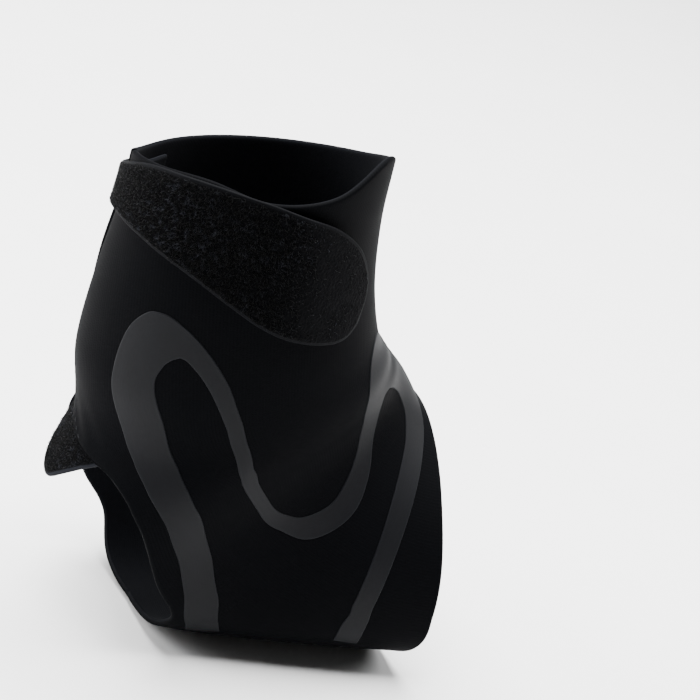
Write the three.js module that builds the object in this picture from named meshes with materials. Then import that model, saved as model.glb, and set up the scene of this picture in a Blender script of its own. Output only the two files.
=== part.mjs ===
// A wraparound ankle brace for a right foot, in the shape it has when worn. Millimetres.
// +X points to the toes, +Y to the inner side of the foot, +Z up.
// The origin is where the sole of the foot rests: on the brace's inner face, under the ankle.
import * as THREE from 'three';
import { mergeVertices } from 'three/addons/utils/BufferGeometryUtils.js';

// Sizes of the brace's inner face, which fits the leg and the foot
const COLLAR_HEIGHT = 152; // sole to the middle of the collar
const CREASE_HEIGHT = 97; // sole to the bend in front of the ankle
const HEEL_HEIGHT = 64; // sole to the hollow above the heel
const INSTEP_HEIGHT = 74; // sole to the top of the foot, at the toe opening
const LEG_DEPTH = 84; // shin to heel cord, at the collar
const LEG_WIDTH = 68; // side to side, at the collar
const SOLE_REACH = 71; // ankle forward to the toe opening
const HEEL_REACH = 62; // ankle back to the heel
const FOOT_WIDTH = 88; // side to side, at the toe opening

// Thicknesses of the layers, and the gap kept between two of them
const WING_WALL = 1.8;
const BODY_WALL = 2.2;
const STRAP_WALL = 2.0;
const HOOK_WALL = 0.8;
const BAND_WALL = 0.6;
const LAYER_GAP = 0.5;

// Sections through the leg, from the collar down. front and back are reaches from the ankle as shares of
// LEG_DEPTH. frontRise and backRise are heights as shares of the way up to COLLAR_HEIGHT, from CREASE_HEIGHT
// and from HEEL_HEIGHT. width is a share of LEG_WIDTH. waist is where the section is widest, from its back
// at 0 to its front at 1.
const LEG_SECTIONS = [
  { front: 0.25, frontRise: 1.36, back: 0.67, backRise: 1.24, width: 1.04, waist: 0.48 },
  { front: 0.28, frontRise: 0.95, back: 0.66, backRise: 0.90, width: 1.00, waist: 0.48 },
  { front: 0.34, frontRise: 0.56, back: 0.68, backRise: 0.58, width: 1.04, waist: 0.48 },
  { front: 0.43, frontRise: 0.22, back: 0.675, backRise: 0.28, width: 1.10, waist: 0.48 },
];

// The ends of the sections through the foot. front is the reach from the ankle as a share of SOLE_REACH, and
// drop its height, from CREASE_HEIGHT at 0 to INSTEP_HEIGHT at 1. back is the reach of the other end,
// as a share of SOLE_REACH forward or of HEEL_REACH back, and rise its height as a share of HEEL_HEIGHT.
const FOOT_ENDS = [
  { front: 0.60, drop: -0.16, back: -0.84, rise: 1.00 },
  { front: 0.67, drop: 0.04, back: -0.97, rise: 0.58 },
  { front: 0.75, drop: 0.25, back: -0.84, rise: 0.14 },
  { front: 0.83, drop: 0.48, back: -0.34, rise: 0.02 },
  { front: 0.92, drop: 0.76, back: 0.27, rise: 0.00 },
  { front: 1.02, drop: 1.00, back: 1.00, rise: 0.00 },
];

// The outlines of the same sections. width, side, the shift to the inner side, and ridge, the lean of the
// instep, are shares of FOOT_WIDTH. waist is as above. square is the power of the outline of the back half,
// where 2 is round.
const FOOT_OUTLINES = [
  { width: 0.88, waist: 0.46, square: 2.0, side: 0.00, ridge: 0.00 },
  { width: 0.86, waist: 0.42, square: 2.2, side: 0.00, ridge: 0.00 },
  { width: 0.80, waist: 0.38, square: 2.6, side: 0.00, ridge: 0.02 },
  { width: 0.82, waist: 0.34, square: 2.7, side: -0.01, ridge: 0.05 },
  { width: 0.94, waist: 0.32, square: 2.8, side: -0.02, ridge: 0.08 },
  { width: 1.06, waist: 0.30, square: 2.8, side: -0.03, ridge: 0.10 },
];

// Places on the brace are given by place, counted in sections from the collar, and by turn, in degrees round
// the section: 0 at the shin, 90 on the outer side of the foot, 180 at the heel and the sole.

// The rim of the collar, with its point at the shin, and the rim of the toe opening.
const RIMS = [
  { turn: -165, collar: 0.62, toe: 8.90 },
  { turn: -135, collar: 0.80, toe: 8.90 },
  { turn: -105, collar: 0.80, toe: 8.91 },
  { turn: -75, collar: 0.74, toe: 8.84 },
  { turn: -45, collar: 0.62, toe: 8.66 },
  { turn: -15, collar: 0.42, toe: 8.50 },
  { turn: 15, collar: 0.13, toe: 8.50 },
  { turn: 45, collar: -0.10, toe: 8.66 },
  { turn: 75, collar: 0.33, toe: 8.84 },
  { turn: 105, collar: 0.47, toe: 8.91 },
  { turn: 135, collar: 0.40, toe: 8.90 },
  { turn: 165, collar: 0.50, toe: 8.90 },
  { turn: 195, collar: 0.62, toe: 8.90 },
];

// The two edges of the body that meet the opening behind it: down the back of the leg, round the open heel
// and under it to the rear edge of the sole band. outer is the turn of the outer side's edge, inner of the
// inner side's.
const BACK_EDGES = [
  { place: 0, outer: 195, inner: -154 },
  { place: 1, outer: 195, inner: -153 },
  { place: 2, outer: 195, inner: -150 },
  { place: 3, outer: 196, inner: -142 },
  { place: 3.55, outer: 194, inner: -136 },
  { place: 3.95, outer: 188, inner: -133 },
  { place: 4.17, outer: 176, inner: -132 },
  { place: 4.28, outer: 161, inner: -131 },
  { place: 4.42, outer: 146, inner: -130 },
  { place: 4.75, outer: 131, inner: -127 },
  { place: 5.25, outer: 120, inner: -120 },
  { place: 5.75, outer: 115, inner: -115 },
  { place: 6.2, outer: 116, inner: -116 },
  { place: 6.6, outer: 122, inner: -122 },
  { place: 6.85, outer: 133, inner: -133 },
  { place: 7.0, outer: 155, inner: -155 },
  { place: 7.05, outer: 180, inner: -180 },
];

// The wing behind the heel cord, from under the inner side's edge of the body to under the outer side's.
const WING_EDGES = [
  { turn: 242, upper: 0.95, lower: 3.70 },
  { turn: 230, upper: 0.95, lower: 4.05 },
  { turn: 218, upper: 0.90, lower: 4.38 },
  { turn: 205, upper: 0.85, lower: 4.65 },
  { turn: 194, upper: 0.80, lower: 4.78 },
  { turn: 184, upper: 0.80, lower: 4.80 },
  { turn: 176, upper: 0.80, lower: 4.66 },
  { turn: 167, upper: 0.80, lower: 4.48 },
  { turn: 158, upper: 0.80, lower: 4.33 },
  { turn: 149, upper: 0.80, lower: 4.13 },
  { turn: 140, upper: 0.80, lower: 3.90 },
];

// The strap, from its root on the inner side, round behind the leg, to its rounded end on the outer side.
const STRAP_EDGES = [
  { turn: 238, upper: 1.05, lower: 1.62 },
  { turn: 213, upper: 0.90, lower: 1.42 },
  { turn: 189, upper: 0.70, lower: 1.27 },
  { turn: 167, upper: 0.51, lower: 1.27 },
  { turn: 148, upper: 0.43, lower: 1.36 },
  { turn: 131, upper: 0.40, lower: 1.50 },
  { turn: 115, upper: 0.42, lower: 1.72 },
  { turn: 100, upper: 0.47, lower: 1.98 },
  { turn: 87, upper: 0.55, lower: 2.18 },
  { turn: 75, upper: 0.67, lower: 2.31 },
  { turn: 64, upper: 0.88, lower: 2.35 },
  { turn: 56, upper: 1.13, lower: 2.22 },
  { turn: 51, upper: 1.40, lower: 1.95 },
  { turn: 49, upper: 1.58, lower: 1.77 },
];
// The hook patch lies under the strap between these rows of its table, inset by this share of its width on
// each side. The strap climbs onto it over this many rows.
const HOOK_FIRST = 8.4;
const HOOK_LAST = 12.2;
const HOOK_INSET = 0.18;
const STRAP_CLIMB = 1.5;

// The two edges of the support band on the outer side: up from the sole over the ankle bone, down to the side
// of the instep, up over the bend of the ankle and down to the sole again. rear and front are the edges that
// are the rear and the front one where the band starts. shift is how far the inner side's band, which follows
// the same way, is turned towards the front, because its side of the body is narrower behind.
const BAND_EDGES = [
  { rearPlace: 7.08, rearTurn: 134, frontPlace: 7.33, frontTurn: 128.5, shift: 1 },
  { rearPlace: 6.90, rearTurn: 126.5, frontPlace: 7.12, frontTurn: 119.5, shift: 1 },
  { rearPlace: 6.40, rearTurn: 111, frontPlace: 6.70, frontTurn: 104.5, shift: 1 },
  { rearPlace: 5.88, rearTurn: 105.5, frontPlace: 6.06, frontTurn: 94, shift: 1 },
  { rearPlace: 5.34, rearTurn: 110, frontPlace: 5.36, frontTurn: 98, shift: 2 },
  { rearPlace: 4.90, rearTurn: 117.5, frontPlace: 4.76, frontTurn: 108, shift: 5 },
  { rearPlace: 4.50, rearTurn: 129, frontPlace: 4.24, frontTurn: 121, shift: 10 },
  { rearPlace: 4.16, rearTurn: 140.5, frontPlace: 3.86, frontTurn: 129, shift: 15 },
  { rearPlace: 3.80, rearTurn: 149, frontPlace: 3.42, frontTurn: 132.5, shift: 19 },
  { rearPlace: 3.10, rearTurn: 156.5, frontPlace: 2.92, frontTurn: 136.5, shift: 22 },
  { rearPlace: 2.42, rearTurn: 155, frontPlace: 2.68, frontTurn: 134.5, shift: 20 },
  { rearPlace: 2.08, rearTurn: 147.5, frontPlace: 2.58, frontTurn: 132, shift: 18 },
  { rearPlace: 2.01, rearTurn: 139, frontPlace: 2.53, frontTurn: 129.5, shift: 16 },
  { rearPlace: 2.09, rearTurn: 130, frontPlace: 2.51, frontTurn: 127.5, shift: 14 },
  { rearPlace: 2.27, rearTurn: 121, frontPlace: 2.56, frontTurn: 124, shift: 11 },
  { rearPlace: 2.54, rearTurn: 113, frontPlace: 2.75, frontTurn: 118, shift: 8 },
  { rearPlace: 2.89, rearTurn: 106.5, frontPlace: 3.06, frontTurn: 112.2, shift: 5 },
  { rearPlace: 3.37, rearTurn: 102.2, frontPlace: 3.45, frontTurn: 108.4, shift: 2 },
  { rearPlace: 3.84, rearTurn: 99.4, frontPlace: 3.88, frontTurn: 105.2, shift: 1 },
  { rearPlace: 4.28, rearTurn: 93.3, frontPlace: 4.34, frontTurn: 98, shift: 0 },
  { rearPlace: 4.61, rearTurn: 87.4, frontPlace: 4.68, frontTurn: 91.3, shift: 0 },
  { rearPlace: 4.92, rearTurn: 83.6, frontPlace: 4.98, frontTurn: 87, shift: 0 },
  { rearPlace: 5.50, rearTurn: 77.7, frontPlace: 5.62, frontTurn: 80.3, shift: 0 },
  { rearPlace: 6.13, rearTurn: 73.5, frontPlace: 6.34, frontTurn: 77, shift: 0 },
  { rearPlace: 6.49, rearTurn: 71, frontPlace: 6.92, frontTurn: 75.5, shift: 0 },
  { rearPlace: 6.70, rearTurn: 65.5, frontPlace: 7.20, frontTurn: 68.5, shift: 0 },
  { rearPlace: 6.65, rearTurn: 60, frontPlace: 7.20, frontTurn: 60, shift: 0 },
  { rearPlace: 6.38, rearTurn: 53.2, frontPlace: 6.90, frontTurn: 51, shift: 0 },
  { rearPlace: 5.92, rearTurn: 48.2, frontPlace: 6.48, frontTurn: 45, shift: 0 },
  { rearPlace: 5.10, rearTurn: 46.4, frontPlace: 5.90, frontTurn: 39.8, shift: 0 },
  { rearPlace: 4.18, rearTurn: 47, frontPlace: 5.30, frontTurn: 36.5, shift: 0 },
  { rearPlace: 3.50, rearTurn: 43.5, frontPlace: 4.95, frontTurn: 33.5, shift: 0 },
  { rearPlace: 2.98, rearTurn: 35.5, frontPlace: 4.92, frontTurn: 30, shift: 0 },
  { rearPlace: 2.85, rearTurn: 25, frontPlace: 5.05, frontTurn: 27.5, shift: 0 },
  { rearPlace: 3.45, rearTurn: 13, frontPlace: 5.35, frontTurn: 25, shift: 0 },
  { rearPlace: 5.00, rearTurn: 6.5, frontPlace: 5.85, frontTurn: 23.3, shift: 0 },
  { rearPlace: 6.60, rearTurn: 6.5, frontPlace: 6.40, frontTurn: 24, shift: 0 },
  { rearPlace: 7.55, rearTurn: 10, frontPlace: 6.90, frontTurn: 26.8, shift: 0 },
  { rearPlace: 7.92, rearTurn: 20, frontPlace: 7.26, frontTurn: 32.5, shift: 0 },
  { rearPlace: 8.05, rearTurn: 36, frontPlace: 7.50, frontTurn: 41, shift: 0 },
  { rearPlace: 8.16, rearTurn: 64, frontPlace: 7.84, frontTurn: 64.5, shift: 0 },
  { rearPlace: 8.32, rearTurn: 93, frontPlace: 8.11, frontTurn: 91, shift: 0 },
  { rearPlace: 8.38, rearTurn: 108, frontPlace: 8.16, frontTurn: 106, shift: 0 },
  { rearPlace: 8.44, rearTurn: 121, frontPlace: 8.24, frontTurn: 120, shift: 0 },
];

// How far the shapes of the two rims reach into the body, in sections
const COLLAR_BLEND = 1.5;
const TOE_BLEND = 1.6;

// How finely each piece is divided, and the small steps that give directions on a surface
const BODY_COLUMNS = 36;
const BODY_OPEN_ROWS = 27;
const BODY_CLOSED_ROWS = 9;
const STRAP_ROWS = 7;
const STRAP_COLUMNS = 34;
const HOOK_ROWS = 4;
const HOOK_COLUMNS = 8;
const WING_ROWS = 22;
const WING_COLUMNS = 11;
const BAND_COLUMNS = 84;
const BAND_ROWS = 3;
const PLACE_STEP = 0.02;
const TURN_STEP = 0.6;

// Every section's own numbers in millimetres, from the collar down and forward to the toe opening.
const SECTIONS = [
  ...LEG_SECTIONS.map((row) => ({
    frontX: row.front * LEG_DEPTH,
    frontZ: CREASE_HEIGHT + row.frontRise * (COLLAR_HEIGHT - CREASE_HEIGHT),
    backX: -row.back * LEG_DEPTH,
    backZ: HEEL_HEIGHT + row.backRise * (COLLAR_HEIGHT - HEEL_HEIGHT),
    half: (row.width * LEG_WIDTH) / 2,
    waist: row.waist,
    square: 2,
    side: 0,
    ridge: 0,
  })),
  ...FOOT_ENDS.map((row, i) => ({
    frontX: row.front * SOLE_REACH,
    frontZ: CREASE_HEIGHT + row.drop * (INSTEP_HEIGHT - CREASE_HEIGHT),
    backX: row.back * (row.back > 0 ? SOLE_REACH : HEEL_REACH),
    backZ: row.rise * HEEL_HEIGHT,
    half: (FOOT_OUTLINES[i].width * FOOT_WIDTH) / 2,
    waist: FOOT_OUTLINES[i].waist,
    square: FOOT_OUTLINES[i].square,
    side: FOOT_OUTLINES[i].side * FOOT_WIDTH,
    ridge: FOOT_OUTLINES[i].ridge * FOOT_WIDTH,
  })),
];
const LAST = SECTIONS.length - 1;

// A smooth value of one column of a table, at a place counted in rows.
function between(rows, key, at) {
  const low = Math.min(Math.max(Math.floor(at), 0), rows.length - 2);
  const t = at - low;
  const p1 = rows[low][key];
  const p2 = rows[low + 1][key];
  const p0 = low > 0 ? rows[low - 1][key] : 2 * p1 - p2;
  const p3 = low + 2 < rows.length ? rows[low + 2][key] : 2 * p2 - p1;
  const bend = 2 * p0 - 5 * p1 + 4 * p2 - p3;
  const twist = 3 * (p1 - p2) + p3 - p0;
  return p1 + 0.5 * t * (p2 - p0 + t * (bend + t * twist));
}

// A point of the brace's inner face.
function facePoint(place, turn) {
  const q = {};
  for (const key of Object.keys(SECTIONS[0])) q[key] = between(SECTIONS, key, place);
  const angle = THREE.MathUtils.degToRad(turn);
  const c = Math.cos(angle);
  const s = Math.sin(angle);
  const power = c < 0 ? q.square : 2;
  const reach = Math.pow(Math.pow(Math.abs(c), power) + Math.pow(Math.abs(s), power), -1 / power);
  const along = q.waist + c * reach * (c < 0 ? q.waist : 1 - q.waist);
  const lean = c > 0 ? q.ridge * c * c : 0;
  return new THREE.Vector3(
    q.backX + along * (q.frontX - q.backX),
    q.side + lean - s * reach * q.half,
    q.backZ + along * (q.frontZ - q.backZ),
  );
}

// The directions of growing place and growing turn on the inner face, per section and per degree.
function slopes(place, turn) {
  const down = facePoint(place + PLACE_STEP, turn).sub(facePoint(place - PLACE_STEP, turn));
  const round = facePoint(place, turn + TURN_STEP).sub(facePoint(place, turn - TURN_STEP));
  return { down: down.divideScalar(2 * PLACE_STEP), round: round.divideScalar(2 * TURN_STEP) };
}

// The point that lies so many millimetres outside the inner face.
function raised(place, turn, lift) {
  const { down, round } = slopes(place, turn);
  const out = round.cross(down).normalize();
  return facePoint(place, turn).addScaledVector(out, lift);
}

// One closed wall between two grids of points. The last closedRows steps of the grid run all the way round,
// so their first and last columns meet and have no side walls.
function wallGeometry(inner, outer, closedRows = 0) {
  const rows = inner.length - 1;
  const columns = inner[0].length - 1;
  const points = [];
  const quad = (a, b, c, d) => points.push(a, b, c, a, c, d);
  for (let i = 0; i < rows; i += 1) {
    for (let j = 0; j < columns; j += 1) {
      quad(outer[i][j], outer[i + 1][j], outer[i + 1][j + 1], outer[i][j + 1]);
      quad(inner[i][j], inner[i][j + 1], inner[i + 1][j + 1], inner[i + 1][j]);
    }
    if (i < rows - closedRows) {
      quad(inner[i][0], inner[i + 1][0], outer[i + 1][0], outer[i][0]);
      quad(outer[i][columns], outer[i + 1][columns], inner[i + 1][columns], inner[i][columns]);
    }
  }
  for (let j = 0; j < columns; j += 1) {
    quad(outer[0][j], outer[0][j + 1], inner[0][j + 1], inner[0][j]);
    quad(inner[rows][j], inner[rows][j + 1], outer[rows][j + 1], outer[rows][j]);
  }
  const geometry = mergeVertices(new THREE.BufferGeometry().setFromPoints(points));
  geometry.computeVertexNormals();
  return geometry;
}

// A wall laid on the inner face: spot(i, j) gives the place and turn of each grid point, in shares from 0 to
// 1 down and across, and lift(i, j) the distance from the inner face to the wall's own inner side.
function laidWall(rows, columns, spot, lift, wall) {
  const inner = [];
  const outer = [];
  for (let i = 0; i <= rows; i += 1) {
    const line = Array.from({ length: columns + 1 }, (_, j) => spot(i / rows, j / columns));
    const lifts = line.map((_, j) => lift(i / rows, j / columns));
    inner.push(line.map(({ place, turn }, j) => raised(place, turn, lifts[j])));
    outer.push(line.map(({ place, turn }, j) => raised(place, turn, lifts[j] + wall)));
  }
  return wallGeometry(inner, outer);
}

// A place of the body, moved so that the rims of the collar and the toe opening have their own shapes. RIMS
// has its rows at even steps of turn.
function trimmed(place, turn) {
  const first = RIMS[0].turn;
  const at = (turn < first ? turn + 360 - first : turn - first) / (RIMS[1].turn - first);
  const atCollar = Math.max(1 - place / COLLAR_BLEND, 0);
  const atToe = Math.max(1 - (LAST - place) / TOE_BLEND, 0);
  return place + between(RIMS, 'collar', at) * atCollar + (between(RIMS, 'toe', at) - LAST) * atToe;
}

function bodyGeometry() {
  const lines = [];
  for (let i = 0; i <= BODY_OPEN_ROWS; i += 1) {
    const at = ((BACK_EDGES.length - 1) * i) / BODY_OPEN_ROWS;
    lines.push({
      place: between(BACK_EDGES, 'place', at),
      outer: between(BACK_EDGES, 'outer', at),
      inner: between(BACK_EDGES, 'inner', at),
    });
  }
  const soleEdge = BACK_EDGES[BACK_EDGES.length - 1];
  for (let i = 1; i <= BODY_CLOSED_ROWS; i += 1) {
    lines.push({ ...soleEdge, place: soleEdge.place + ((LAST - soleEdge.place) * i) / BODY_CLOSED_ROWS });
  }
  const grid = (lift) => lines.map((line) => Array.from({ length: BODY_COLUMNS + 1 }, (_, j) => {
    const turn = line.outer + ((line.inner - line.outer) * j) / BODY_COLUMNS;
    return raised(trimmed(line.place, turn), turn, lift);
  }));
  return wallGeometry(grid(0), grid(BODY_WALL), BODY_CLOSED_ROWS);
}

function wingGeometry() {
  const spot = (down, across) => {
    const at = across * (WING_EDGES.length - 1);
    const upper = between(WING_EDGES, 'upper', at);
    const lower = between(WING_EDGES, 'lower', at);
    return { place: upper + (lower - upper) * down, turn: between(WING_EDGES, 'turn', at) };
  };
  return laidWall(WING_ROWS, WING_COLUMNS, spot, () => -LAYER_GAP - WING_WALL, WING_WALL);
}

// A spot of the strap: at counts rows of its table, and down is the share of its width from its upper edge.
function strapSpot(at, down) {
  const upper = between(STRAP_EDGES, 'upper', at);
  const lower = between(STRAP_EDGES, 'lower', at);
  return { place: upper + (lower - upper) * down, turn: between(STRAP_EDGES, 'turn', at) };
}

function strapGeometry() {
  const span = STRAP_EDGES.length - 1;
  const climb = HOOK_WALL + LAYER_GAP;
  const climbEnd = HOOK_FIRST - STRAP_CLIMB / 3;
  const spot = (down, across) => strapSpot(across * span, down);
  const lift = (down, across) => {
    const over = THREE.MathUtils.smoothstep(across * span, climbEnd - STRAP_CLIMB, climbEnd);
    return BODY_WALL + LAYER_GAP + climb * over;
  };
  return laidWall(STRAP_ROWS, STRAP_COLUMNS, spot, lift, STRAP_WALL);
}

function hookGeometry() {
  const spot = (down, across) => strapSpot(
    HOOK_FIRST + (HOOK_LAST - HOOK_FIRST) * across,
    HOOK_INSET + (1 - 2 * HOOK_INSET) * down,
  );
  return laidWall(HOOK_ROWS, HOOK_COLUMNS, spot, () => BODY_WALL + LAYER_GAP, HOOK_WALL);
}

// A support band, laid between its two edges, on the outer side or on the inner side.
function bandGeometry(onInner) {
  const spot = (down, across) => {
    const at = across * (BAND_EDGES.length - 1);
    const toFront = onInner ? 1 - down : down;
    const mixed = (rear, front) => THREE.MathUtils.lerp(
      between(BAND_EDGES, rear, at),
      between(BAND_EDGES, front, at),
      toFront,
    );
    const place = mixed('rearPlace', 'frontPlace');
    const turn = mixed('rearTurn', 'frontTurn');
    return { place, turn: onInner ? between(BAND_EDGES, 'shift', at) - turn : turn };
  };
  return laidWall(BAND_ROWS, BAND_COLUMNS, spot, () => BODY_WALL + LAYER_GAP, BAND_WALL);
}

const group = new THREE.Group();

function add(name, geometry, color, roughness) {
  const material = new THREE.MeshStandardMaterial({ color, roughness, metalness: 0 });
  const mesh = new THREE.Mesh(geometry, material);
  mesh.name = name;
  group.add(mesh);
}

add('sleeve_body', bodyGeometry(), 0x17171a, 0.9);
add('heel_wing', wingGeometry(), 0x232325, 1);
add('wrap_strap', strapGeometry(), 0x0e0e12, 1);
add('hook_patch', hookGeometry(), 0x141416, 0.7);
add('outer_side_band', bandGeometry(false), 0x343438, 0.6);
add('inner_side_band', bandGeometry(true), 0x343438, 0.6);

export default group;
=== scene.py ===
"""A wraparound ankle brace for a right foot, in the shape it has when worn, open at the heel and the toes.

The brace is a knitted body, a strap and a wing of loop fabric, two bonded support bands, and the stitching.
Metres, in the frame of the model that it is built round: +X to the toes, +Y to the inner side, +Z up.
"""
import math

import bpy
import numpy as np
from mathutils import Matrix
from mathutils.kdtree import KDTree


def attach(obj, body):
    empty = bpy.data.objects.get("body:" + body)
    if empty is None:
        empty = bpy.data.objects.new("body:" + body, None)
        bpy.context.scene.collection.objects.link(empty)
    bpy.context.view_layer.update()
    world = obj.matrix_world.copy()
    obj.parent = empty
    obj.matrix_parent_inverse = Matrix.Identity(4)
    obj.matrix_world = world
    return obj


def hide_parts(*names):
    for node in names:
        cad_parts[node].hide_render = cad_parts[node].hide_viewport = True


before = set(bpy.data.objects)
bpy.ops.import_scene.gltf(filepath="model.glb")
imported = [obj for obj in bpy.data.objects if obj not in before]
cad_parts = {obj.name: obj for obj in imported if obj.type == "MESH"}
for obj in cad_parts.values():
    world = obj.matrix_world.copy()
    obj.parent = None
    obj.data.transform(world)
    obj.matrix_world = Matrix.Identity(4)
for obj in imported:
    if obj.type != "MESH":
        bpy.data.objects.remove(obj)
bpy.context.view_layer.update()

MM = 0.001

# The camera, at the photograph's angle
PHOTO_SIZE = 700.0
CAMERA_AZIMUTH = -33.0
CAMERA_ELEVATION = 23.0
CAMERA_ROLL = 18.0
CAMERA_DISTANCE = 0.8
CAMERA_FOCAL = 2450.0  # in pixels of the photograph
CAMERA_SENSOR = 36.0
CAMERA_REACH = 20.0
AIM_POINT = (0.005, 0.0, 0.0773)
AIM_PIXEL = (254.0, 394.0)

# Sizes of the brace's inner face
COLLAR_HEIGHT = 0.152
CREASE_HEIGHT = 0.097
HEEL_HEIGHT = 0.064
INSTEP_HEIGHT = 0.074
LEG_DEPTH = 0.084
LEG_WIDTH = 0.068
SOLE_REACH = 0.071
HEEL_REACH = 0.062
FOOT_WIDTH = 0.088

# Thicknesses of the layers, and the gap between two of them
WING_WALL = 0.0018
BODY_WALL = 0.0022
STRAP_WALL = 0.0015
HOOK_WALL = 0.0008
LAYER_GAP = 0.0005
STRAP_GAP = 0.0002  # between the body and the strap where the strap lies close
BAND_RISE = 0.00028  # how far the bonded band stands above the knit
BAND_SUNK = 0.0004  # how deep it is bonded into the knit


def table(columns, *rows):
    """A table with named columns, as one array a column."""
    return {name: np.array([row[k] for row in rows], float) for k, name in enumerate(columns.split())}


# Sections through the leg and the foot: the same shares of the named sizes as in the model.
LEG_SECTIONS = table(
    "front front_rise back back_rise width waist",
    (0.25, 1.36, 0.67, 1.24, 1.04, 0.48),
    (0.28, 0.95, 0.66, 0.90, 1.00, 0.48),
    (0.34, 0.56, 0.68, 0.58, 1.04, 0.48),
    (0.43, 0.22, 0.675, 0.28, 1.10, 0.48),
)
FOOT_SECTIONS = table(
    "front drop back rise width waist square side ridge",
    (0.60, -0.16, -0.84, 1.00, 0.88, 0.46, 2.0, 0.00, 0.00),
    (0.67, 0.04, -0.97, 0.58, 0.86, 0.42, 2.2, 0.00, 0.00),
    (0.75, 0.25, -0.84, 0.14, 0.80, 0.38, 2.6, 0.00, 0.02),
    (0.83, 0.48, -0.34, 0.02, 0.82, 0.34, 2.7, -0.01, 0.05),
    (0.92, 0.76, 0.27, 0.00, 0.94, 0.32, 2.8, -0.02, 0.08),
    (1.02, 1.00, 1.00, 0.00, 1.06, 0.30, 2.8, -0.03, 0.10),
)

# Places are counted in sections from the collar, and turns in degrees round a section: 0 at the shin, 90 on
# the outer side, 180 at the heel and the sole.
RIM_FIRST = -165.0
RIM_STEP = 30.0
RIMS = table(
    "collar toe",
    (0.62, 8.90),
    (0.80, 8.90),
    (0.80, 8.91),
    (0.74, 8.84),
    (0.62, 8.66),
    (0.42, 8.50),
    (0.13, 8.50),
    (-0.10, 8.66),
    (0.33, 8.84),
    (0.47, 8.91),
    (0.40, 8.90),
    (0.50, 8.90),
    (0.62, 8.90),
)
BACK_EDGES = table(
    "place outer inner",
    (0, 195, -154),
    (1, 195, -153),
    (2, 195, -150),
    (3, 196, -142),
    (3.55, 194, -136),
    (3.95, 188, -133),
    (4.17, 176, -132),
    (4.28, 161, -131),
    (4.42, 146, -130),
    (4.75, 131, -127),
    (5.25, 120, -120),
    (5.75, 115, -115),
    (6.2, 116, -116),
    (6.6, 122, -122),
    (6.85, 133, -133),
    (7.0, 155, -155),
    (7.05, 180, -180),
)
WING_EDGES = table(
    "turn upper lower",
    (242, 0.95, 3.70),
    (230, 0.95, 4.05),
    (218, 0.90, 4.38),
    (205, 0.85, 4.65),
    (194, 0.80, 4.78),
    (184, 0.80, 4.80),
    (176, 0.80, 4.66),
    (167, 0.80, 4.48),
    (158, 0.80, 4.33),
    (149, 0.80, 4.13),
    (140, 0.80, 3.90),
)
STRAP_EDGES = table(
    "turn upper lower",
    (238, 1.05, 1.62),
    (213, 0.90, 1.42),
    (189, 0.70, 1.27),
    (167, 0.51, 1.27),
    (148, 0.43, 1.36),
    (131, 0.40, 1.50),
    (115, 0.42, 1.72),
    (100, 0.47, 1.98),
    (87, 0.55, 2.18),
    (75, 0.67, 2.31),
    (64, 0.88, 2.35),
    (56, 1.13, 2.22),
    (51, 1.40, 1.95),
    (49, 1.58, 1.77),
)
# The hook patch lies under the strap between these rows of the strap's table, inset on each side by this
# share of the strap's width. The strap climbs onto it over this many rows.
HOOK_FIRST = 8.4
HOOK_LAST = 12.2
HOOK_INSET = 0.18
STRAP_CLIMB = 1.5

# The two edges of the support band: up from the sole over the ankle bone, down to the side of the instep, up
# over the bend of the ankle and down to the sole again. rear and front are named by where they lie as the
# band leaves the sole. shift turns the inner side's band to the front.
BAND_EDGES = table(
    "rear_place rear_turn front_place front_turn shift",
    (7.08, 134, 7.33, 128.5, 1),
    (6.90, 126.5, 7.12, 119.5, 1),
    (6.40, 111, 6.70, 104.5, 1),
    (5.88, 105.5, 6.06, 94, 1),
    (5.34, 110, 5.36, 98, 2),
    (4.90, 117.5, 4.76, 108, 5),
    (4.50, 129, 4.24, 121, 10),
    (4.16, 140.5, 3.86, 129, 15),
    (3.80, 149, 3.42, 132.5, 19),
    (3.10, 156.5, 2.92, 136.5, 22),
    (2.42, 155, 2.68, 134.5, 20),
    (2.08, 147.5, 2.58, 132, 18),
    (2.01, 139, 2.53, 129.5, 16),
    (2.09, 130, 2.51, 127.5, 14),
    (2.27, 121, 2.56, 124, 11),
    (2.54, 113, 2.75, 118, 8),
    (2.89, 106.5, 3.06, 112.2, 5),
    (3.37, 102.2, 3.45, 108.4, 2),
    (3.84, 99.4, 3.88, 105.2, 1),
    (4.28, 93.3, 4.34, 98, 0),
    (4.61, 87.4, 4.68, 91.3, 0),
    (4.92, 83.6, 4.98, 87, 0),
    (5.50, 77.7, 5.62, 80.3, 0),
    (6.13, 73.5, 6.34, 77, 0),
    (6.49, 71, 6.92, 75.5, 0),
    (6.70, 65.5, 7.20, 68.5, 0),
    (6.65, 60, 7.20, 60, 0),
    (6.38, 53.2, 6.90, 51, 0),
    (5.92, 48.2, 6.48, 45, 0),
    (5.10, 46.4, 5.90, 39.8, 0),
    (4.18, 47, 5.30, 36.5, 0),
    (3.50, 43.5, 4.95, 33.5, 0),
    (2.98, 35.5, 4.92, 30, 0),
    (2.85, 25, 5.05, 27.5, 0),
    (3.45, 13, 5.35, 25, 0),
    (5.00, 6.5, 5.85, 23.3, 0),
    (6.60, 6.5, 6.40, 24, 0),
    (7.55, 10, 6.90, 26.8, 0),
    (7.92, 20, 7.26, 32.5, 0),
    (8.05, 36, 7.50, 41, 0),
    (8.16, 64, 7.84, 64.5, 0),
    (8.32, 93, 8.11, 91, 0),
    (8.38, 108, 8.16, 106, 0),
    (8.44, 121, 8.24, 120, 0),
)
# How far the shapes of the two rims reach into the body, in sections
COLLAR_BLEND = 1.5
TOE_BLEND = 1.6


# The form of the leg and the foot

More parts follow.
